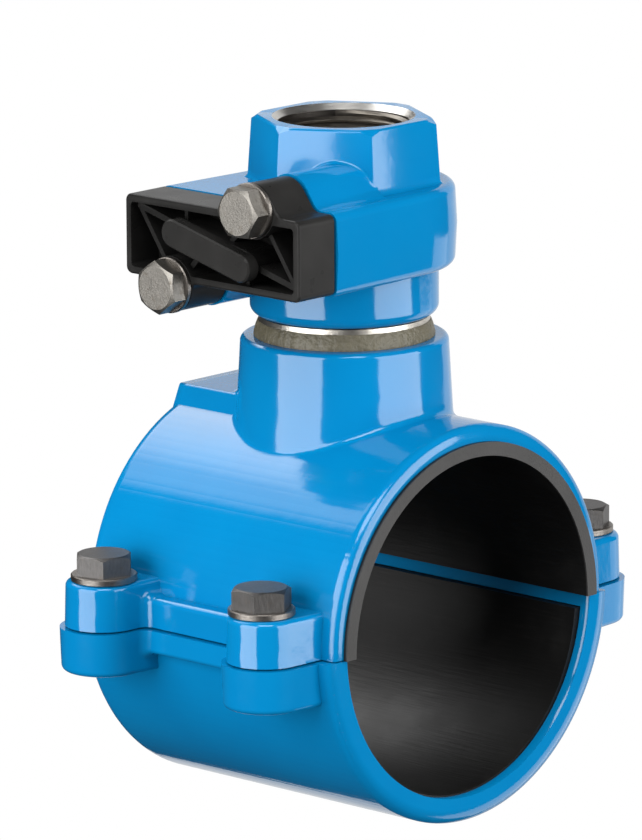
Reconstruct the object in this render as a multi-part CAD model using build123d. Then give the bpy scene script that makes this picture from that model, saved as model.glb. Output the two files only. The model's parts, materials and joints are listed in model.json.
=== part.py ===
"""Self-contained tapping saddle with a slide-shut-off valve body: two half shells clamp a pipe."""
import os
from math import asin, atan2, cos, degrees, radians, sin, sqrt, tan

from build123d import *

# ---- driving dimensions, mm -------------------------------------------------------------
pipe_r = 62.5            # outside radius of the pipe that is clamped (d 125)
lining_t = 3.5           # rubber thickness, upper half
lower_lining_t = 5.6     # rubber thickness, lower half
half_length = 61.0       # half of the castings' length along the pipe
seat_gap = 0.3           # gap kept between pieces that sit in one another
split_gap = 0.6          # open gap between the two half shells
upper_wall, upper_cz = 5.7, 1.7     # upper shell's wall at the split, and its outer arc's centre height
lower_wall, lower_cz = 7.4, 3.6
lip_gap, lip_cz = 3.0, 2.5          # end lips that hold the lower lining, clear of the pipe
lip_w = 4.0
lining_out = 1.8         # how far the upper lining stands out of each end
lining_lip, lining_lip_t = 1.5, 1.5 # rim of the lining over the casting's end
lower_lining_top = -5.4

bolt_out, bolt_in = 14.0, 22.1      # flank bolts: out from the shell, in from its end
bolt_d, bolt_af, bolt_head_h = 12.0, 19.2, 7.5
bolt_washer_r, bolt_washer_t = 12.0, 2.5
bolt_clear = 0.75
lug_top, lug_bottom = 16.9, -16.4
lug_r_up, lug_r_low = 13.9, 15.8
lug_dx, lug_dy = -0.6, 1.2          # lug centre from the bolt: towards the shell, out along the pipe
lug_root = 1.5                      # widening of the lugs where they meet the shell
strip_out_up, strip_top = 6.0, 11.0
strip_out_low, strip_bottom = 4.6, -8.9
strip_blend = 4.0
nut_af, nut_h = 18.6, 10.0

neck_r, neck_rise, neck_draft = 37.8, 25.7, 3.2
pad_half, pad_rise, pad_lean = 22.9, 2.3, 3.4    # flat pad behind the neck
port_r = 20.0            # clear bore up through the fitting

boss_gap, boss_r, boss_h = 7.9, 34.3, 33.5       # round foot of the valve body, above the neck
nipple_collar_r = 31.2
nipple_r = 23.9
nipple_in, nipple_up = 27.0, 16.0   # how far the nipple goes down into the neck and up into the body
bead_h, bead_out = 5.8, 1.7
house_h, house_draft = 30.4, 3.0    # shut-off housing
house_r, house_end, house_half = 40.9, -50.0, 43.4
hex_af, hex_rise, hex_draft = 58.9, 38.8, 4.0
hex_round_r = 31.2       # radius of the cone that takes the hexagon's top corners off
thread_r, mouth_r, mouth_depth = 23.9, 25.9, 2.2
thread_depth = 24.0
ridge_r, lobe_r = 10.4, 9.8         # ridges of the body and lobes of the cover round the cover bolts
flank_foot = 13.2        # how far out from the bolt the ridge's flank reaches the flat
cover_rise = 0.4
cover_bolt_y, cover_bolt_dz = 20.0, 16.0
cover_bolt_d, cover_af, cover_head_h = 10.0, 17.0, 6.4
cover_washer_r, cover_washer_t = 10.1, 2.0
cover_gap, cover_t = 1.2, 18.2
cover_half_y, cover_half_z = 42.5, 14.6
cover_wall, cover_floor = 2.8, 4.0
slot_half, slot_h, slot_in = 31.0, 8.0, 30.0

inner_r = pipe_r + lining_t + seat_gap
lower_seat_r = pipe_r + lower_lining_t + seat_gap
upper_r, lower_r = inner_r + upper_wall, lower_seat_r + lower_wall
lip_r = pipe_r + lip_gap
half_split = split_gap / 2
bolt_x, bolt_y = upper_r + bolt_out, half_length - bolt_in
strip_x_up, strip_x_low = upper_r + strip_out_up, lower_r + strip_out_low
shell_top = upper_r + upper_cz
pad_top = shell_top + pad_rise
neck_top = shell_top + neck_rise
boss_bottom = neck_top + boss_gap
house_z = boss_bottom + boss_h
hex_top = house_z + hex_rise
cover_z = house_z + cover_rise
cover_back = house_end - cover_gap
cover_front = cover_back - cover_t
bolt_reach = lug_top - lug_bottom + 2.7
far = 3 * upper_r        # reach of cutting tools that only have to go past everything


# ---- helpers ----------------------------------------------------------------------------
def rod_z(r, z0, z1, x=0.0, y=0.0):
    return Pos(x, y, (z0 + z1) / 2) * Cylinder(r, z1 - z0)


def rod_y(r, y0, y1, z=0.0, x=0.0):
    return Pos(x, (y0 + y1) / 2, z) * Rot(90, 0, 0) * Cylinder(r, y1 - y0)


def rod_x(r, x0, x1, y=0.0, z=0.0):
    return Pos((x0 + x1) / 2, y, z) * Rot(0, 90, 0) * Cylinder(r, x1 - x0)


def block(x0, x1, y0, y1, z0, z1):
    return Pos((x0 + x1) / 2, (y0 + y1) / 2, (z0 + z1) / 2) * Box(x1 - x0, y1 - y0, z1 - z0)


def hex_prism(af, z0, z1, turn=0.0):
    outline = Rot(0, 0, turn) * RegularPolygon(af / sqrt(3), 6)
    return Pos(0, 0, z0) * extrude(outline, z1 - z0)


def raise_plan(plan, height, taper, up=True):
    """Extrude a plan from z = 0 upwards, or downwards, with draft."""
    part = extrude(plan, height, taper=taper)
    if (part.bounding_box().center().Z > 0) != up:
        part = mirror(part, Plane.XY)
    return part


def soften(part, edges, radii):
    """Fillet the edges with the first radius that the shape accepts."""
    edges = list(edges)
    for r in radii:
        try:
            done = part.fillet(r, edges)
            if done.is_valid and done.volume > 0:
                return done
        except Exception:
            continue
    print("kept sharp:", len(edges), "edges")
    return part


def round_corners(sketch, radii, chosen):
    """Round the chosen corners of a flat outline with the first radius that fits."""
    corners = [v for v in sketch.vertices() if chosen(v)]
    for r in radii:
        try:
            return fillet(corners, r)
        except Exception:
            continue
    print("outline corners kept sharp:", len(corners))
    return sketch


def one(part):
    """The largest solid of a boolean result."""
    solids = sorted(part.solids(), key=lambda s: s.volume)
    return Part() + solids[-1]


# ---- saddle castings --------------------------------------------------------------------
def lug_plan(side, end, r, inner_x):
    """Rounded lug outline in plan: a circle by the bolt, widening towards the shell."""
    cx, cy = bolt_x + lug_dx, side * end * (bolt_y + lug_dy)
    ring = Pos(cx, cy) * Circle(r)
    web = Polygon((cx, cy - r), (cx, cy + r), (inner_x, cy + r + lug_root), (inner_x, cy - r - lug_root), align=None)
    plan = ring + web
    return plan if side > 0 else Rot(0, 0, 180) * plan


def strip_corners(body, strip_x, z0, z1):
    """Upright edges where the strips meet the lugs."""
    found = []
    for e in body.edges():
        c = e.center()
        box = e.bounding_box()
        upright = box.size.Z > 0.6 * (z1 - z0) and box.size.Y < 1.5 and box.size.X < 1.5
        if upright and z0 - 1 < c.Z < z1 + 1 and abs(abs(c.X) - strip_x) < 1.0 and abs(c.Y) < bolt_y:
            found.append(e)
    return found


def back_pad():
    """Flat pad along the pipe behind the neck, with leaning sides."""
    depth = pad_top - sqrt(upper_r ** 2 - (pad_half + pad_lean) ** 2)
    out = pad_half + pad_lean * depth / (pad_top - shell_top + 5.2)
    plan = Polygon((-pad_half, pad_top), (-out, pad_top - depth), (out, pad_top - depth), (pad_half, pad_top),
                   align=None)
    return extrude(Plane(origin=(0, half_length, 0), x_dir=(1, 0, 0), z_dir=(0, -1, 0)) * plan, half_length - 20.0)


def upper_half():
    body = rod_y(upper_r, -half_length, half_length, upper_cz)
    body -= block(-far, far, -far, far, -far, half_split)
    front_rims = body.edges().filter_by(GeomType.CIRCLE)
    body = soften(body, front_rims, [2.0, 1.5, 1.0])
    strips = None
    for side in (-1, 1):
        x0, x1 = sorted((side * (inner_r - 6.0), side * strip_x_up))
        strip = block(x0, x1, -bolt_y, bolt_y, half_split, strip_top)
        strip = soften(strip, strip.edges().filter_by(Axis.Y).group_by(Axis.Z)[-1], [2.2])
        strips = strip if strips is None else strips + strip
    body += strips
    for side in (-1, 1):
        for end in (-1, 1):
            plan = lug_plan(side, end, lug_r_up, upper_r - 10.0)
            lug = Pos(0, 0, half_split) * raise_plan(plan, lug_top - half_split, 1.5)
            lug = soften(lug, lug.faces().sort_by(Axis.Z)[-1].edges(), [2.2, 1.6, 1.0])
            body += lug
    body = one(body)
    body = soften(body, strip_corners(body, strip_x_up, half_split, strip_top - 2.2), [strip_blend, 2.5])
    # neck, drafted, blended into the shell, with the pad behind it
    root = sqrt(inner_r ** 2 - neck_r ** 2) - 4.5
    neck_h = neck_top - root
    foot_r = neck_r + neck_h * tan(radians(neck_draft))
    neck = Pos(0, 0, root + neck_h / 2) * Cone(foot_r, neck_r, neck_h)
    body += back_pad()
    sides = [e for e in body.edges().filter_by(Axis.Y)
             if pad_half - 1 < abs(e.center().X) < pad_half + 9 and e.center().Z > shell_top - 12]
    body = soften(body, [e for e in sides if e.center().Z < pad_top - 0.5], [6.0, 4.0, 2.5])
    sides = [e for e in body.edges().filter_by(Axis.Y)
             if abs(e.center().Z - pad_top) < 0.05 and abs(abs(e.center().X) - pad_half) < 0.5]
    body = soften(body, sides, [1.2, 0.8])
    body += neck
    body = one(body)
    blend = []
    for e in body.edges():
        c = e.center()
        off = max(abs(sqrt(v.X ** 2 + v.Y ** 2) - foot_r) for v in (e @ 0.0, e @ 0.5, e @ 1.0))
        if off < 3.0 and root - 10 < c.Z < neck_top - 5:
            blend.append(e)
    body = soften(body, blend, [5.0, 4.0, 3.0, 2.0])
    top_ring = [e for e in body.edges().filter_by(GeomType.CIRCLE)
                if abs(e.center().Z - neck_top) < 0.01 and e.radius > neck_r - 2]
    body = soften(body, top_ring, [2.2, 1.5])
    # bores
    body -= rod_y(inner_r, -far, far)
    body -= rod_z(nipple_r + seat_gap, neck_top - nipple_in - seat_gap, far)
    body -= rod_z(port_r + 1.5, inner_r - 26, neck_top)
    body -= rod_z(nipple_collar_r + 1.0, neck_top - 1.6, neck_top + 5)
    for side in (-1, 1):
        for end in (-1, 1):
            x, y = side * bolt_x, end * bolt_y
            body -= rod_z(bolt_d / 2 + bolt_clear, -5, lug_top + 15, x, y)
            body -= rod_z(bolt_washer_r + 1.0, lug_top, lug_top + 30, x, y)
    return one(body)


def lower_half():
    body = rod_y(lower_r, -half_length, half_length, lower_cz)
    body -= block(-far, far, -far, far, -half_split, far)
    rims = body.edges().filter_by(GeomType.CIRCLE)
    body = soften(body, rims, [2.2, 1.5, 1.0])
    for side in (-1, 1):
        x0, x1 = sorted((side * (lower_r - 9.8), side * strip_x_low))
        strip = block(x0, x1, -bolt_y, bolt_y, strip_bottom, -half_split)
        strip = soften(strip, strip.edges().filter_by(Axis.Y).group_by(Axis.Z)[0], [1.8])
        body += strip
    for side in (-1, 1):
        for end in (-1, 1):
            plan = lug_plan(side, end, lug_r_low, lower_r - 11.8)
            lug = Pos(0, 0, -half_split) * raise_plan(plan, -half_split - lug_bottom, 2.0, up=False)
            lug = soften(lug, lug.faces().sort_by(Axis.Z)[0].edges(), [2.2, 1.6, 1.0])
            body += lug
    body = one(body)
    body = soften(body, strip_corners(body, strip_x_low, strip_bottom + 2.0, -half_split), [strip_blend, 2.5])
    body -= rod_y(lip_r, -far, far, lip_cz)
    seat = rod_y(lower_seat_r, -half_length + lip_w, half_length - lip_w)
    seat -= block(-far, far, -far, far, lower_lining_top + seat_gap, far)
    body -= seat
    for side in (-1, 1):
        for end in (-1, 1):
            x, y = side * bolt_x, end * bolt_y
            body -= rod_z(bolt_d / 2 + bolt_clear, lug_bottom - 14, 5, x, y)
            pocket = hex_prism(nut_af + 0.6, lug_bottom - 5, lug_bottom + nut_h - 1.0)
            body -= Pos(x, y, 0) * pocket
    return one(body)


def upper_lining():
    y = half_length + lining_out
    body = rod_y(pipe_r + lining_t, -y, y)
    for end in (-1, 1):
        y0, y1 = sorted((end * (y - lining_lip_t), end * y))
        body += rod_y(pipe_r + lining_t + lining_lip, y0, y1)
    body -= rod_y(pipe_r, -far, far)
    body -= block(-far, far, -far, far, -far, 0.0)
    body -= rod_z(port_r + 0.5, pipe_r - 22, pipe_r + 28)
    return one(body)


def lower_lining():
    y = half_length - lip_w - seat_gap
    body = rod_y(pipe_r + lower_lining_t, -y, y) - rod_y(pipe_r, -far, far)
    body -= block(-far, far, -far, far, lower_lining_top, far)
    return one(body)


# ---- valve body -------------------------------------------------------------------------
def housing_plan():
    """Plan of the shut-off housing: square at the cover, half round at the far end."""
    end = house_end - 1.2                # cut back to a flat face later
    lean = asin((house_half - house_r) / abs(end))
    tx, ty = house_r * sin(lean), house_r * cos(lean)
    line_a = Polyline((tx, -ty), (end, -house_half), (end, house_half), (tx, ty))
    arc = ThreePointArc((tx, ty), (house_r, 0), (tx, -ty))
    return make_face([line_a.edges()[0], line_a.edges()[1], line_a.edges()[2], arc.edge()])


def lobed(s, r, flat, reach):
    """Outline round one cover bolt, (y, z) from the middle: round crown, leaning outer flank, flat at +-flat."""
    y, z = -cover_bolt_y, cover_bolt_dz
    foot = (y - flank_foot, flat)
    dy, dz = y - foot[0], z - foot[1]
    span = sqrt(dy * dy + dz * dz)
    rise = atan2(dz, dy) + asin(r / span)
    run = sqrt(span * span - r * r)
    crown = (foot[0] + run * cos(rise), foot[1] + run * sin(rise))
    inner_y = y + sqrt(r * r - (z - flat) ** 2)
    flank = Polygon(foot, (y, flat), (y, z), crown, align=None)
    base = Polygon((y - reach, flat), (y - reach, flat - 6), (y + reach, flat - 6), (y + reach, flat), align=None)
    shape = (Pos(y, z) * Circle(r)) + flank + base
    shape = round_corners(shape, [5.0, 3.0], lambda v: abs(v.X - foot[0]) < 0.05 and abs(v.Y - flat) < 0.05)
    shape = round_corners(shape, [3.0, 2.0, 1.0], lambda v: abs(v.X - inner_y) < 0.05 and abs(v.Y - flat) < 0.05)
    return shape if s > 0 else Rot(0, 0, 180) * shape


def valve_body():
    half_h = house_h / 2
    plan = housing_plan()
    body = (Pos(0, 0, house_z) * raise_plan(plan, half_h, house_draft)
            + Pos(0, 0, house_z) * raise_plan(plan, half_h, house_draft, up=False))
    for pick in (-1, 0):
        rim = [e for e in body.faces().sort_by(Axis.Z)[pick].edges() if e.center().X > house_end + 2]
        body = soften(body, rim, [3.4, 2.4, 1.5])
    body -= block(-far, house_end, -far, far, house_z - far, house_z + far)
    for s in (-1, 1):
        ridge = lobed(s, ridge_r, half_h - s * cover_rise, 17.0)
        body += on_cover(ridge, house_end, -16.0)
    boss = rod_z(boss_r, boss_bottom, house_z)
    boss = soften(boss, boss.edges().filter_by(GeomType.CIRCLE).sort_by(Axis.Z)[0:1], [4.0, 3.0])
    body += boss
    body += hexagon()
    body = one(body)
    foot = []
    for e in body.edges():
        c = e.center()
        if abs(c.Z - house_z - half_h) < 0.6 and sqrt(c.X ** 2 + c.Y ** 2) < boss_r + 2.5:
            foot.append(e)
    body = soften(body, foot, [2.4, 1.6, 1.0])
    # bores
    body -= rod_z(thread_r, hex_top - thread_depth, hex_top + 5)
    body -= rod_z(port_r, boss_bottom - 10, hex_top)
    body -= Pos(0, 0, hex_top - mouth_depth / 2) * Cone(thread_r, mouth_r, mouth_depth)
    body -= rod_z(nipple_r + seat_gap, boss_bottom - 10, boss_bottom + nipple_up + seat_gap)
    slot = block(-far, 0, -slot_half, slot_half, house_z - slot_h / 2, house_z + slot_h / 2)
    slot += rod_z(slot_half, house_z - slot_h / 2, house_z + slot_h / 2)
    body -= slot
    for s in (-1, 1):
        y, z = -s * cover_bolt_y, cover_z + s * cover_bolt_dz
        body -= rod_x(cover_bolt_d / 2 + 0.35, house_end - 10, -27.0, y, z)
    return one(body)


def hexagon():
    """Drafted spanner collar with rounded corners, its top corners turned off by a cone."""
    grow = 2 * hex_rise * tan(radians(hex_draft))
    base = RegularPolygon((hex_af + grow) / sqrt(3), 6)
    base = fillet(base.vertices(), 2.6)
    body = Pos(0, 0, house_z) * raise_plan(base, hex_rise, hex_draft)
    drop = 3.2
    turned = rod_z(hex_af, house_z - 1, hex_top - drop)
    turned += Pos(0, 0, hex_top - drop / 2) * Cone(hex_round_r + 1.35 * drop, hex_round_r, drop)
    body &= turned
    return soften(one(body), body.faces().sort_by(Axis.Z)[-1].edges(), [1.2, 0.8, 0.5])


def slot_seal():
    """Rubber that lines the blade slot, with the bore and a thin slit for a blade."""
    r, h = slot_half - seat_gap, slot_h - 2 * seat_gap
    body = block(house_end + 1.0, 0, -r, r, house_z - h / 2, house_z + h / 2)
    body += rod_z(r, house_z - h / 2, house_z + h / 2)
    body -= rod_z(port_r, house_z - slot_h, house_z + slot_h)
    body -= block(-far, 0, -port_r - 3, port_r + 3, house_z - 0.8, house_z + 0.8)
    return one(body)


# ---- cover ------------------------------------------------------------------------------
def cover_outline():
    """Cover outline in (y, z) about its middle; the two bolt lobes mirror each other through the middle."""
    shape = Rectangle(2 * cover_half_y, 2 * cover_half_z)
    for s in (-1, 1):
        shape += lobed(s, lobe_r, cover_half_z, 17.0)
    return round_corners(shape, [2.6, 1.8], lambda v: abs(v.X) > cover_half_y - 0.1 and abs(v.Y) > 10)


def on_cover(sketch, x_from, x_to):
    """Extrude a (y, z) sketch about the cover's middle between two x planes."""
    plane = Plane(origin=(x_from, 0, cover_z), x_dir=(0, 1, 0), z_dir=(1, 0, 0))
    return extrude(plane * sketch, x_to - x_from)


def bar(p, q, width):
    """Straight strip with round ends between two (y, z) points."""
    dy, dz = q[0] - p[0], q[1] - p[1]
    length = sqrt(dy * dy + dz * dz)
    mid = ((p[0] + q[0]) / 2, (p[1] + q[1]) / 2)
    return Pos(*mid) * Rot(0, 0, degrees(atan2(dz, dy))) * SlotCenterToCenter(length, width)


def cover_ribs(edge_y, edge_z):
    """Ribs of the hollow front: long ones from the corners, short cross ribs, mirrored through the middle."""
    ribs = None
    for s in (-1, 1):
        corner = (s * (edge_y - 1.6), s * (edge_z - 1.6))
        boss = (s * 25.0, -s * (edge_z - 3.0))
        for piece in (bar(corner, (s * 17.0, s * 4.6), 2.2), bar(corner, boss, 1.7),
                      bar((s * 15.0, s * edge_z), (s * 15.0, s * 5.0), 1.6),
                      bar((s * 3.5, s * 1.0), (s * 13.0, -s * (edge_z - 2.5)), 2.0)):
            ribs = piece if ribs is None else ribs + piece
    return ribs & Rectangle(2 * edge_y + 1, 2 * edge_z + 1)


def slot_cover():
    body = on_cover(cover_outline(), cover_front, cover_back)
    body = soften(body, body.faces().sort_by(Axis.X)[0].edges(), [0.9, 0.5])
    edge_y, edge_z = cover_half_y - cover_wall, cover_half_z - cover_wall
    inner = Rectangle(2 * edge_y, 2 * edge_z)
    inner = fillet(inner.vertices(), 1.4)
    for s in (-1, 1):
        inner -= Pos(-s * cover_bolt_y, s * cover_bolt_dz) * Circle(lobe_r + 0.6)
    inner = round_corners(inner, [1.2, 0.6], lambda v: abs(abs(v.Y) - edge_z) < 0.05 and abs(v.X) < 34)
    pocket_floor = cover_back - cover_floor
    body -= on_cover(inner, cover_front - 1, pocket_floor)
    ribs = on_cover(cover_ribs(edge_y, edge_z), cover_front + 3.0, pocket_floor + 0.5)
    body += ribs
    label = bar((15.9, 3.6), (-15.9, -3.6), 9.0)
    plate = on_cover(label, cover_front, pocket_floor + 0.5)
    plate = soften(plate, plate.faces().sort_by(Axis.X)[0].edges(), [1.1, 0.7])
    body += plate
    for s in (-1, 1):
        y, z = -s * cover_bolt_y, cover_z + s * cover_bolt_dz
        body -= rod_x(cover_bolt_d / 2 + 0.5, cover_front - 10, cover_back + 10, y, z)
    groove = Rectangle(2 * slot_half + 7, slot_h + 8) - Rectangle(2 * slot_half + 2, slot_h + 3)
    body -= on_cover(groove, cover_back - 2.0, cover_back + 1)
    return one(body)


def cover_gasket():
    ring = Rectangle(2 * slot_half + 6.4, slot_h + 7.4) - Rectangle(2 * slot_half + 2.6, slot_h + 3.6)
    return one(on_cover(ring, cover_back - 1.9, house_end))


# ---- hardware ---------------------------------------------------------------------------
def hex_bolt(af, head_h, d, length, turn):
    """Hexagon screw, head up, underside of the head at z = 0, chamfered on top."""
    head = hex_prism(af, 0.0, head_h, turn)
    corner = af / sqrt(3)
    bevel = Pos(0, 0, head_h / 2) * Cylinder(corner + 1, head_h)
    cone = Pos(0, 0, head_h - 1.4) * Cone(corner + 0.4, corner - 2.3, 1.6, align=(Align.CENTER, Align.CENTER, Align.MIN))
    base = Cylinder(corner + 0.4, head_h - 1.4, align=(Align.CENTER, Align.CENTER, Align.MIN))
    head &= (base + cone)
    shank = rod_z(d / 2 - 0.1, -length, 0.2)
    tip = shank.edges().filter_by(GeomType.CIRCLE).sort_by(Axis.Z)[0:1]
    shank = chamfer(tip, 1.0)
    return one(head + shank)


def washer(r, t, hole):
    ring = Pos(0, 0, t / 2) * (Cylinder(r, t) - Cylinder(hole, t))
    rim = [e for e in ring.edges().filter_by(GeomType.CIRCLE) if e.radius > r - 0.1]
    return one(chamfer(rim, 0.35))


def nut():
    body = hex_prism(nut_af, 0, nut_h - 1.4) - rod_z(bolt_d / 2 + 0.2, -1, nut_h + 1)
    return one(body)


def nipple():
    """Steel nipple between the saddle's neck and the valve body, with a round collar in the gap."""
    body = rod_z(nipple_r, neck_top - nipple_in, boss_bottom + nipple_up)
    body += rod_z(nipple_collar_r, neck_top + 1.0, boss_bottom - seat_gap)
    body -= rod_z(port_r, neck_top - nipple_in - 5, boss_bottom + nipple_up + 5)
    return one(body)


def sealing_bead():
    """Bead of sealing compound round the nipple's collar, thick at its foot."""
    z, r = neck_top, nipple_collar_r + 0.1
    pts = [(r, z - 1.4), (r + 0.8, z - 1.4), (r + 0.8, z + 0.05), (r + bead_out, z + 0.05),
           (r + 0.95 * bead_out, z + 0.2 * bead_h), (r + 0.65 * bead_out, z + 0.55 * bead_h),
           (r + 0.28 * bead_out, z + 0.85 * bead_h), (r + 0.05, z + bead_h), (r, z + bead_h)]
    face = make_face(Polyline(*[(x, 0, h) for x, h in pts], close=True))
    return one(revolve(face, Axis.Z))


def place_z(part, x, y, z):
    return Pos(x, y, z) * part


def place_to_cover(part, y, z, x):
    """Turn a +Z part so that it points out of the cover, along -X."""
    return Pos(x, y, z) * Rot(0, -90, 0) * part


# ---- assembly ---------------------------------------------------------------------------
def assemble():
    nodes = {
        "saddle_upper": upper_half(),
        "saddle_lower": lower_half(),
        "upper_lining": upper_lining(),
        "lower_lining": lower_lining(),
        "valve_body": valve_body(),
        "slot_seal": slot_seal(),
        "slot_cover": slot_cover(),
        "cover_gasket": cover_gasket(),
        "nipple": nipple(),
        "sealing_bead": sealing_bead(),
    }
    corners = {"a": (-1, -1, 30.0), "b": (-1, 1, 43.0), "c": (1, -1, 29.0), "d": (1, 1, 25.0)}
    for key, (sx, sy, turn) in corners.items():
        x, y = sx * bolt_x, sy * bolt_y
        ring = washer(bolt_washer_r, bolt_washer_t, bolt_d / 2 + 0.3)
        nodes["flank_washer_" + key] = place_z(ring, x, y, lug_top)
        screw = hex_bolt(bolt_af, bolt_head_h, bolt_d, bolt_reach, turn)
        nodes["flank_bolt_" + key] = place_z(screw, x, y, lug_top + bolt_washer_t)
        nodes["flank_nut_" + key] = place_z(nut(), x, y, lug_bottom)
    for key, s, turn in (("a", 1, 30.0), ("b", -1, 6.0)):
        y, z = -s * cover_bolt_y, cover_z + s * cover_bolt_dz
        ring = washer(cover_washer_r, cover_washer_t, cover_bolt_d / 2 + 0.3)
        nodes["cover_washer_" + key] = place_to_cover(ring, y, z, cover_front)
        screw = hex_bolt(cover_af, cover_head_h, cover_bolt_d, cover_t + 23.8, turn)
        nodes["cover_bolt_" + key] = place_to_cover(screw, y, z, cover_front - cover_washer_t)
    return nodes


def main():
    os.makedirs("parts", exist_ok=True)
    for name, shape in assemble().items():
        print(name, "volume", round(shape.volume / 1000, 2), "cm3, solids", len(shape.solids()))
        export_step(shape, "parts/" + name + ".step")


main()
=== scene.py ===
import json
import math
import bpy
import numpy as np
from mathutils import Matrix, Vector


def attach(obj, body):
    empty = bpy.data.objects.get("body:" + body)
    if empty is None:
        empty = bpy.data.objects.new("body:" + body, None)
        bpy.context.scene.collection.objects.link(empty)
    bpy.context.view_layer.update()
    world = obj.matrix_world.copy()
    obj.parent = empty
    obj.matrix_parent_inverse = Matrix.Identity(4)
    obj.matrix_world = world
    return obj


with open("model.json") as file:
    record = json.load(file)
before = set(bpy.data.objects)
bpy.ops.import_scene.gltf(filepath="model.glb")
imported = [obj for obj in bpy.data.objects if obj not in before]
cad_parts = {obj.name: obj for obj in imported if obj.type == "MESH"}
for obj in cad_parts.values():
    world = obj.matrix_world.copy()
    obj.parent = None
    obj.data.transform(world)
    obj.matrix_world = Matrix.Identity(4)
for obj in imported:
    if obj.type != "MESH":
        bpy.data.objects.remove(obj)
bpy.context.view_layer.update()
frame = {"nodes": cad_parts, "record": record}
nodes = frame["nodes"]
mm = 0.001
print("stage: frame loaded,", len(nodes), "nodes")


class Wire:
    # a node's output socket; Python operators add Math nodes behind it
    def __init__(self, kit, socket):
        self.kit, self.socket = kit, socket

    def math(self, operation, *values):
        return self.kit.add("ShaderNodeMath", {"operation": operation}, dict(enumerate(values)))

    def __add__(self, other):
        return self.math("ADD", self, other)

    def __radd__(self, other):
        return self.math("ADD", other, self)

    def __sub__(self, other):
        return self.math("SUBTRACT", self, other)

    def __rsub__(self, other):
        return self.math("SUBTRACT", other, self)

    def __mul__(self, other):
        return self.math("MULTIPLY", self, other)

    def __rmul__(self, other):
        return self.math("MULTIPLY", other, self)

    def __pow__(self, other):
        return self.math("POWER", self, other)

    def below(self, limit, soft):
        # 1 below the limit, 0 above it, with a soft step between
        return self.kit.add("ShaderNodeMapRange", {"interpolation_type": "SMOOTHSTEP"},
                            {"Value": self, "From Min": limit - soft, "From Max": limit + soft,
                             "To Min": 1.0, "To Max": 0.0})

    def above(self, limit, soft):
        return 1 - self.below(limit, soft)


class Finish:
    # a procedural material, built on Object coordinates in metres
    def __init__(self, name, **constants):
        self.material = bpy.data.materials.new(name)
        self.material.use_nodes = True
        self.tree = self.material.node_tree
        self.tree.nodes.clear()
        self.shader = self.tree.nodes.new("ShaderNodeBsdfPrincipled")
        output = self.tree.nodes.new("ShaderNodeOutputMaterial")
        self.tree.links.new(self.shader.outputs["BSDF"], output.inputs["Surface"])
        self.feed(**constants)
        self.place = self.add("ShaderNodeTexCoord", {}, {}, "Object")
        split = self.add("ShaderNodeSeparateXYZ", {}, {0: self.place}, None)
        self.x, self.y, self.z = [Wire(self, split.outputs[i]) for i in range(3)]

    def add(self, kind, settings, values, out=0):
        # settings are set first, then each socket takes its value or link
        node = self.tree.nodes.new(kind)
        for key, value in settings.items():
            setattr(node, key, value)
        for key, value in values.items():
            self.put(node.inputs[key], value)
        return node if out is None else Wire(self, node.outputs[out])

    def put(self, target, value):
        if isinstance(value, Wire):
            self.tree.links.new(value.socket, target)
        else:
            target.default_value = value

    def noise(self, size, detail=2.0, rough=0.5, stretch=None):
        # noise whose lumps are about size metres across
        where = self.place
        if stretch:
            where = self.add("ShaderNodeMapping", {}, {"Vector": where, "Scale": stretch})
        return self.add("ShaderNodeTexNoise", {}, {"Vector": where, "Scale": 1 / size, "Detail": detail,
                                                   "Roughness": rough})

    def mix(self, factor, first, second):
        # colour mix; colours are (r, g, b) or wires
        firstSlot, secondSlot, outSlot = 6, 7, 2
        node = self.add("ShaderNodeMix", {"data_type": "RGBA"}, {"Factor": factor}, None)
        for slot, value in ((firstSlot, first), (secondSlot, second)):
            self.put(node.inputs[slot], value if isinstance(value, Wire) else (*value, 1))
        return Wire(self, node.outputs[outSlot])

    def bump(self, height, strength, distance):
        return self.add("ShaderNodeBump", {}, {"Height": height, "Strength": strength, "Distance": distance})

    def feed(self, **sockets):
        for socketName, value in sockets.items():
            self.put(self.shader.inputs[socketName.replace("_", " ")], value)
        return self.material


coat = dict(blue=(0.0005, 0.150, 0.345), deep=(0.0004, 0.130, 0.315), toneSize=30 * mm, peelSize=1.3 * mm,
            waveSize=11 * mm, peelHeight=0.0112 * mm, waveHeight=0.064 * mm, roughLeast=0.075, roughSpan=0.05)
endRims = dict(start=57.2 * mm, reach=5.2 * mm, radius=6.5 * mm,
               upper=dict(shellRadius=72.0 * mm, middle=1.7 * mm),
               lower=dict(shellRadius=75.8 * mm, middle=3.6 * mm))
hexagon = dict(flatRadius=280 * mm, low=158 * mm)
# the bore colours are painted shade: darker than the chamfer's, as the mouth's inside lies in shade
mouth = dict(radius=25.9 * mm, low=150 * mm, chamferLow=177.4 * mm, grooveSize=0.9 * mm, grooveHeight=0.03 * mm,
             borePaintedShadeDark=(0.045, 0.040, 0.036), borePaintedShadeLight=(0.13, 0.12, 0.11),
             chamferDark=(0.62, 0.60, 0.57), chamferLight=(0.82, 0.80, 0.76))


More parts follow.
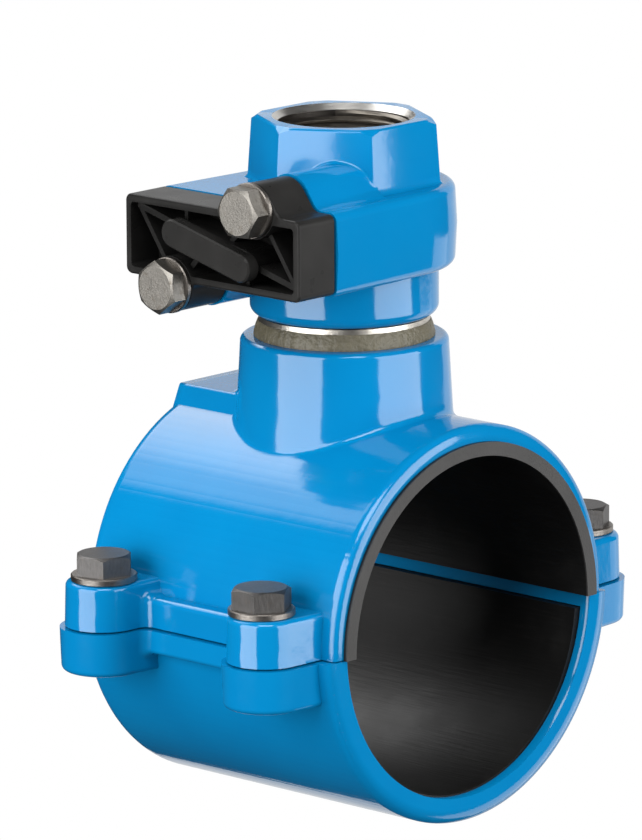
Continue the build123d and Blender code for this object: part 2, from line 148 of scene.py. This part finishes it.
def coatedIron(name, shell=None):
    # glossy epoxy coat with a slight orange peel; without a shell it is the valve body,
    # whose bore stays bare steel, painted darker below the chamfer as shade inside the mouth
    f = Finish(name, IOR=1.5)
    peel = f.noise(coat["peelSize"], 1.0)
    wave = f.noise(coat["waveSize"], 2.0)
    tone = f.noise(coat["toneSize"], 3.0)
    colour = f.mix(tone.above(0.55, 0.25) * 0.5, coat["blue"], coat["deep"])
    rough = coat["roughLeast"] + coat["roughSpan"] * wave
    height = peel * coat["peelHeight"] + wave * coat["waveHeight"]
    metalness = 0.0
    if shell:
        # the ends are rounded more broadly than the solids: height falls with the square of the way in
        # from where the rounding starts, along the pipe outside and across the wall on the end face
        reach = endRims["reach"]
        long = f.y.math("ABSOLUTE", f.y)
        outward = long.math("MAXIMUM", long - endRims["start"], 0.0)
        ring = (f.x * f.x + (f.z - shell["middle"]) ** 2) ** 0.5
        across = ring.math("MAXIMUM", ring - (shell["shellRadius"] - reach), 0.0)
        across = across.math("MINIMUM", across, reach)
        height = height - (outward * outward + across * across) * (0.5 / endRims["radius"])
    else:
        # the six flats are slightly convex: height falls with the square of the way from each flat's middle
        ring = (f.x * f.x + f.y * f.y) ** 0.5
        turn = f.y.math("ARCTAN2", f.y, f.x)
        middle = turn.math("SNAP", turn, math.pi / 3) + math.pi / 6
        across = ring * turn.math("SINE", turn - middle)
        height = height - across * across * (0.5 / hexagon["flatRadius"]) * f.z.above(hexagon["low"], 1 * mm)
        bare = ring.below(mouth["radius"], 0.12 * mm) * f.z.above(mouth["low"], 0.2 * mm)
        turned = f.noise(mouth["grooveSize"], 2.0, stretch=(0.2, 0.2, 6.0))
        metalness = bare
        # below the chamfer the bare steel takes darker colours: painted shade inside the mouth
        steelWithPaintedShade = f.mix(f.z.above(mouth["chamferLow"], 0.2 * mm),
                            f.mix(turned, mouth["borePaintedShadeDark"], mouth["borePaintedShadeLight"]),
                            f.mix(turned, mouth["chamferDark"], mouth["chamferLight"]))
        colour = f.mix(bare, colour, steelWithPaintedShade)
        rough = rough * (1 - bare) + bare * (0.22 + 0.2 * turned)
        height = height * (1 - bare) + bare * turned * mouth["grooveHeight"]
    return f.feed(Base_Color=colour, Roughness=rough, Metallic=metalness, Normal=f.bump(height, 1.0, 1.0))


# dark and light colour the inside, painted darker as shade; the end colours are painted paler as light falling
# on the end faces
rubber = dict(dark=(0.0035, 0.0034, 0.0033), light=(0.011, 0.0107, 0.010), lineSize=1.2 * mm, dustSize=20 * mm,
              paintedLitEndFrom=62.2 * mm, paintedLitEndDark=(0.021, 0.0206, 0.0202), paintedLitEndLight=(0.046, 0.0451, 0.0442))


def mouldedRubber(name, lineAxis):
    # fine mould lines along one axis and dusty patches; the end faces are painted paler as lit, the inside
    # darker as painted shade
    f = Finish(name, Specular_IOR_Level=0.28)
    stretch = [1.0, 1.0, 1.0]
    stretch[lineAxis] = 0.06
    lines = f.noise(rubber["lineSize"], 3.0, 0.6, stretch=tuple(stretch))
    dust = f.noise(rubber["dustSize"], 4.0, 0.6)
    colour = f.mix(dust.above(0.6, 0.15) * 0.5 + lines.above(0.62, 0.1) * 0.3, rubber["dark"], rubber["light"])
    # the end faces take paler colours as painted light; the inside keeps the darker painted shade
    end = f.y.math("ABSOLUTE", f.y).above(rubber["paintedLitEndFrom"], 0.2 * mm)
    colour = f.mix(end, colour, f.mix(dust, rubber["paintedLitEndDark"], rubber["paintedLitEndLight"]))
    return f.feed(Base_Color=colour, Roughness=0.34 + 0.26 * dust,
                  Normal=f.bump(lines + 0.4 * dust, 0.28, 0.4 * mm))


plastic = dict(dark=(0.0052, 0.0051, 0.005), light=(0.0205, 0.020, 0.0192), grainSize=0.6 * mm,
               cloudSize=12 * mm)


def blackPlastic(name):
    # moulded cover: fine grain, paler along sharp convex edges
    f = Finish(name, Specular_IOR_Level=0.1)
    grain = f.noise(plastic["grainSize"], 2.0)
    cloud = f.noise(plastic["cloudSize"], 3.0)
    # paler where the surface is sharply convex
    paleEdges = f.add("ShaderNodeNewGeometry", {}, {}, "Pointiness").above(0.53, 0.03)
    colour = f.mix(cloud * 0.6 + paleEdges * 0.4, plastic["dark"], plastic["light"])
    return f.feed(Base_Color=colour, Roughness=0.23 + 0.12 * cloud, Normal=f.bump(grain, 0.15, 0.2 * mm))


metal = dict(grainSize=0.8 * mm, cloudSize=6 * mm, stainSize=2.8 * mm, stain=(0.10, 0.08, 0.06))


def steel(name, dark, light, rough, streak=(1, 1, 1), stained=0.0):
    # brushed or rolled steel; streak stretches the grain, stained is how strong the brown spots are
    f = Finish(name, Metallic=1.0)
    fine = f.noise(metal["grainSize"], 3.0, 0.6, stretch=streak)
    cloud = f.noise(metal["cloudSize"], 4.0, 0.65)
    colour = f.mix(fine * 0.6 + cloud * 0.4, dark, light)
    if stained:
        spots = f.noise(metal["stainSize"], 5.0, 0.7).above(0.6, 0.06)
        colour = f.mix(spots * stained, colour, metal["stain"])
    return f.feed(Base_Color=colour, Roughness=rough + 0.22 * cloud, Normal=f.bump(fine + cloud, 0.4, 0.2 * mm))


paste = dict(dark=(0.034, 0.029, 0.016), light=(0.120, 0.107, 0.068), lumpSize=2.2 * mm, wideSize=9 * mm)


def sealingPaste(name):
    # lumpy olive compound pressed out round the nipple
    f = Finish(name)
    lump = f.noise(paste["lumpSize"], 3.0, 0.6)
    wide = f.noise(paste["wideSize"], 2.0)
    colour = f.mix(lump * 0.6 + wide * 0.5, paste["dark"], paste["light"])
    return f.feed(Base_Color=colour, Roughness=0.30 + 0.3 * lump, Normal=f.bump(lump + wide, 0.9, 1 * mm))


# by node where a node has its own finish, else by the record's material slot
finishes = {
    "saddle_upper": coatedIron("blueCoatUpper", endRims["upper"]),
    "saddle_lower": coatedIron("blueCoatLower", endRims["lower"]),
    "valve_body": coatedIron("blueCoatValve"),
    "lining_rubber": mouldedRubber("liningRubber", 1),
    "seal_rubber": mouldedRubber("sealRubber", 0),
    "black_plastic": blackPlastic("coverPlastic"),
    "stainless": steel("nippleSteel", (0.45, 0.42, 0.37), (0.72, 0.69, 0.63), 0.22),
    "sealant": sealingPaste("sealingPaste"),
    "bolt_steel": steel("flankBoltSteel", (0.055, 0.053, 0.052), (0.150, 0.145, 0.142), 0.36,
                        (1, 1, 0.3), 0.3),
    "washer_steel": steel("washerSteel", (0.12, 0.11, 0.10), (0.30, 0.275, 0.25), 0.28, stained=0.2),
    "cover_bolt_steel": steel("coverBoltSteel", (0.13, 0.124, 0.112), (0.29, 0.275, 0.25), 0.34,
                              stained=0.45),
    "thread_steel": steel("threadSteel", (0.07, 0.06, 0.05), (0.26, 0.24, 0.21), 0.25, (0.2, 0.2, 5.0)),
}

creases = dict(castings=32, hardware=18, thread=35, coverBar=30)


def splitCreases(piece, degrees):
    split = piece.modifiers.new("creases", "EDGE_SPLIT")
    split.split_angle = math.radians(degrees)


def dressNode(node, material, crease):
    # CAD meshes are loose triangles: joined and shaded smooth between creases
    node.data.materials.clear()
    node.data.materials.append(material)
    node.data.polygons.foreach_set("use_smooth", np.ones(len(node.data.polygons), bool))
    weld = node.modifiers.new("join", "WELD")
    weld.merge_threshold = 1e-6
    splitCreases(node, crease)
    flats = node.modifiers.new("flats", "WEIGHTED_NORMAL")
    flats.mode, flats.weight, flats.keep_sharp = "FACE_AREA", 60, True


slotOf = {row["node"]: row["material_slot"] for row in frame["record"]["subparts"]}
for name, node in nodes.items():
    hardware = "_bolt_" in name or "_nut_" in name or "_washer_" in name
    finish = finishes[name if name in finishes else slotOf[name]]
    dressNode(node, finish, creases["hardware" if hardware else "castings"])
print("stage: CAD nodes dressed")


def ringPiece(name, points):
    # points is a (places, ring, 3) array: a closed ring carried from place to place, capped at both ends
    ids = np.arange(points.shape[0] * points.shape[1]).reshape(points.shape[:2])
    rows, nextRows = ids[:-1], ids[1:]
    right, nextRight = np.roll(rows, -1, 1), np.roll(nextRows, -1, 1)
    faces = np.stack([rows, nextRows, nextRight, right], -1).reshape(-1, 4).tolist()
    faces += [ids[0].tolist(), ids[-1][::-1].tolist()]
    mesh = bpy.data.meshes.new(name)
    mesh.from_pydata(points.reshape(-1, 3).tolist(), [], faces)
    mesh.polygons.foreach_set("use_smooth", np.ones(len(mesh.polygons), bool))
    piece = bpy.data.objects.new(name, mesh)
    bpy.context.scene.collection.objects.link(piece)
    return piece


def finishPiece(piece, material, crease):
    piece.data.materials.append(material)
    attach(piece, "root")
    splitCreases(piece, crease)


thread = dict(rootRadius=23.86 * mm, crestRadius=22.45 * mm, pitch=2.309 * mm, top=177.3 * mm, low=156.2 * mm,
              stepsPerTurn=72, toothReach=(0.0, 0.9, 1.0, 1.0, 0.9, 0.0),
              toothLift=(-0.48, -0.12, -0.06, 0.06, 0.12, 0.48), fadeTurn=1.2, leastFade=0.02)


def outletThread():
    # a trapezoid tooth carried along a helix: radius by tooth point, height by turn plus tooth point
    pitch, root = thread["pitch"], thread["rootRadius"]
    turns = (thread["top"] - thread["low"]) / pitch - 1
    t = np.linspace(0, 2 * np.pi * turns, int(turns * thread["stepsPerTurn"]))[:, None]
    fade = np.clip(np.minimum(t, t[-1] - t) / thread["fadeTurn"], thread["leastFade"], 1)
    reach = np.array(thread["toothReach"])[None] * (root - thread["crestRadius"])
    lift = np.array(thread["toothLift"])[None] * pitch
    r = root - reach * fade
    z = thread["low"] + pitch * (0.5 + t / (2 * np.pi)) + lift
    # the tooth's points run downwards, so that the faces point at the axis
    return np.stack([r * np.cos(t), r * np.sin(t), z], -1)[:, ::-1]


finishPiece(ringPiece("outletThread", outletThread()), finishes["thread_steel"], creases["thread"])

coverBar = dict(ends=((16.0 * mm, 4.0 * mm), (-16.8 * mm, -4.4 * mm)), middle=140.8 * mm, halfWidth=5.1 * mm,
                foot=-68.4 * mm, front=-73.4 * mm, edge=0.6 * mm, steps=96)


def raisedBar():
    # round-ended outline: at each angle the further of the two end centres plus the half width
    t = np.linspace(0, 2 * np.pi, coverBar["steps"], endpoint=False)
    way = np.stack([np.cos(t), np.sin(t)], -1)
    p, q = [np.array(end) for end in coverBar["ends"]]
    centre = np.where((way @ (p - q) > 0)[:, None], p, q)
    front, edge = coverBar["front"], coverBar["edge"]
    rings = []
    for x, inset in ((coverBar["foot"], 0), (front + edge, 0), (front, edge)):
        ring = centre + way * (coverBar["halfWidth"] - inset)
        rings.append(np.column_stack([np.full(len(t), x), ring[:, 0], ring[:, 1] + coverBar["middle"]]))
    return np.stack(rings)


coverSlot = slotOf["slot_cover"]
finishPiece(ringPiece("coverBar", raisedBar()), finishes[coverSlot], creases["coverBar"])
print("stage: pieces made")


studioLight = dict(plain=0.34, glossy=0.02)


def worldLight(plain, glossy):
    # white to the camera, a plain soft level to everything else and nearly dark to reflections
    world = bpy.data.worlds.new("studio")
    bpy.context.scene.world = world
    world.use_nodes = True
    tree = world.node_tree
    background = tree.nodes["Background"]
    background.inputs["Color"].default_value = (1, 1, 1, 1)
    path = tree.nodes.new("ShaderNodeLightPath")
    unseen = tree.nodes.new("ShaderNodeMix")
    unseen.inputs["A"].default_value, unseen.inputs["B"].default_value = plain, glossy
    tree.links.new(path.outputs["Is Glossy Ray"], unseen.inputs["Factor"])
    seen = tree.nodes.new("ShaderNodeMix")
    seen.inputs["B"].default_value = 1.0
    tree.links.new(unseen.outputs["Result"], seen.inputs["A"])
    tree.links.new(path.outputs["Is Camera Ray"], seen.inputs["Factor"])
    tree.links.new(seen.outputs["Result"], background.inputs["Strength"])


lampAim = Vector((0, 0, 60 * mm))


def softbox(name, azimuth, elevation, distance, width, height, power):
    # a rectangular lamp on a sphere round the object, facing it; azimuth turns from +X towards +Y
    lamp = bpy.data.lights.new(name, "AREA")
    lamp.shape = "RECTANGLE"
    lamp.size, lamp.size_y, lamp.energy = width, height, power
    stand = bpy.data.objects.new(name, lamp)
    bpy.context.scene.collection.objects.link(stand)
    a, e = math.radians(azimuth), math.radians(elevation)
    way = Vector((math.cos(a) * math.cos(e), math.sin(a) * math.cos(e), math.sin(e)))
    stand.location = lampAim + distance * way
    stand.rotation_mode = "QUATERNION"
    stand.rotation_quaternion = (lampAim - stand.location).to_track_quat("-Z", "Y")


# azimuth and elevation in degrees, distance, width and height in metres, and watts
sideLamps = dict(leftSoftbox=(172.5, 10, 1.3, 1.30, 1.25, 30.5),
                 rightSoftbox=(285.5, 10, 1.3, 1.32, 1.25, 26.5))
fillLamps = dict(overheadCard=(223, 53, 1.3, 0.8, 0.5, 9), backRight=(341, -29, 1.4, 0.72, 1.0, 3.4),
                 backWall=(24, -6, 1.4, 1.5, 2.2, 8.5))
# the first lamp of each nest, its power per square metre, and what each further one adds to its sides
topNests = dict(topSoftbox=dict(place=(93, 53), distance=1.42, wide=1.15, high=0.72, growWide=0.06,
                                growHigh=0.06, powerDensity=1.15),
                topCore=dict(place=(79, 48), distance=1.37, wide=0.45, high=0.55, growWide=0.14,
                             growHigh=0.1, powerDensity=1.9))
nestSteps = dict(count=6, stepBack=0.005)


def placeLamps(lamps):
    for name, lamp in lamps.items():
        softbox(name, *lamp)


def topLamps():
    # nested lamps, each a little further back, give the top light a soft edge and a brighter middle
    for step in range(nestSteps["count"]):
        for name, nest in topNests.items():
            wide = nest["wide"] + nest["growWide"] * step
            high = nest["high"] + nest["growHigh"] * step
            distance = nest["distance"] + nestSteps["stepBack"] * step
            softbox(name + str(step), *nest["place"], distance, wide, high, nest["powerDensity"] * wide * high)


worldLight(**studioLight)
placeLamps(sideLamps)
topLamps()
placeLamps(fillLamps)

# metres, degrees and a lens in millimetres; yaw turns from +Y towards +X
cameraPlace = dict(position=(-1.988781, -1.834783, 0.665813), yaw=47.12313, pitch=-12.474105, roll=-0.292157,
                   lens=327.022054, sensor=36)


def makeCamera():
    yaw, pitch, roll = [math.radians(cameraPlace[key]) for key in ("yaw", "pitch", "roll")]
    forward = Vector((math.sin(yaw) * math.cos(pitch), math.cos(yaw) * math.cos(pitch), math.sin(pitch)))
    level = Vector((math.cos(yaw), -math.sin(yaw), 0))
    upright = level.cross(forward)
    right = math.cos(roll) * level + math.sin(roll) * upright
    up = math.cos(roll) * upright - math.sin(roll) * level
    data = bpy.data.cameras.new("camera")
    data.sensor_fit, data.sensor_width, data.lens = "AUTO", cameraPlace["sensor"], cameraPlace["lens"]
    data.clip_start, data.clip_end = 0.1, 50
    camera = bpy.data.objects.new("camera", data)
    bpy.context.scene.collection.objects.link(camera)
    turn = Matrix((right, up, -forward)).transposed().to_4x4()
    camera.matrix_world = Matrix.Translation(cameraPlace["position"]) @ turn
    bpy.context.scene.camera = camera


makeCamera()
bpy.context.scene.view_settings.view_transform = "Standard"
print("stage: lights and camera set")
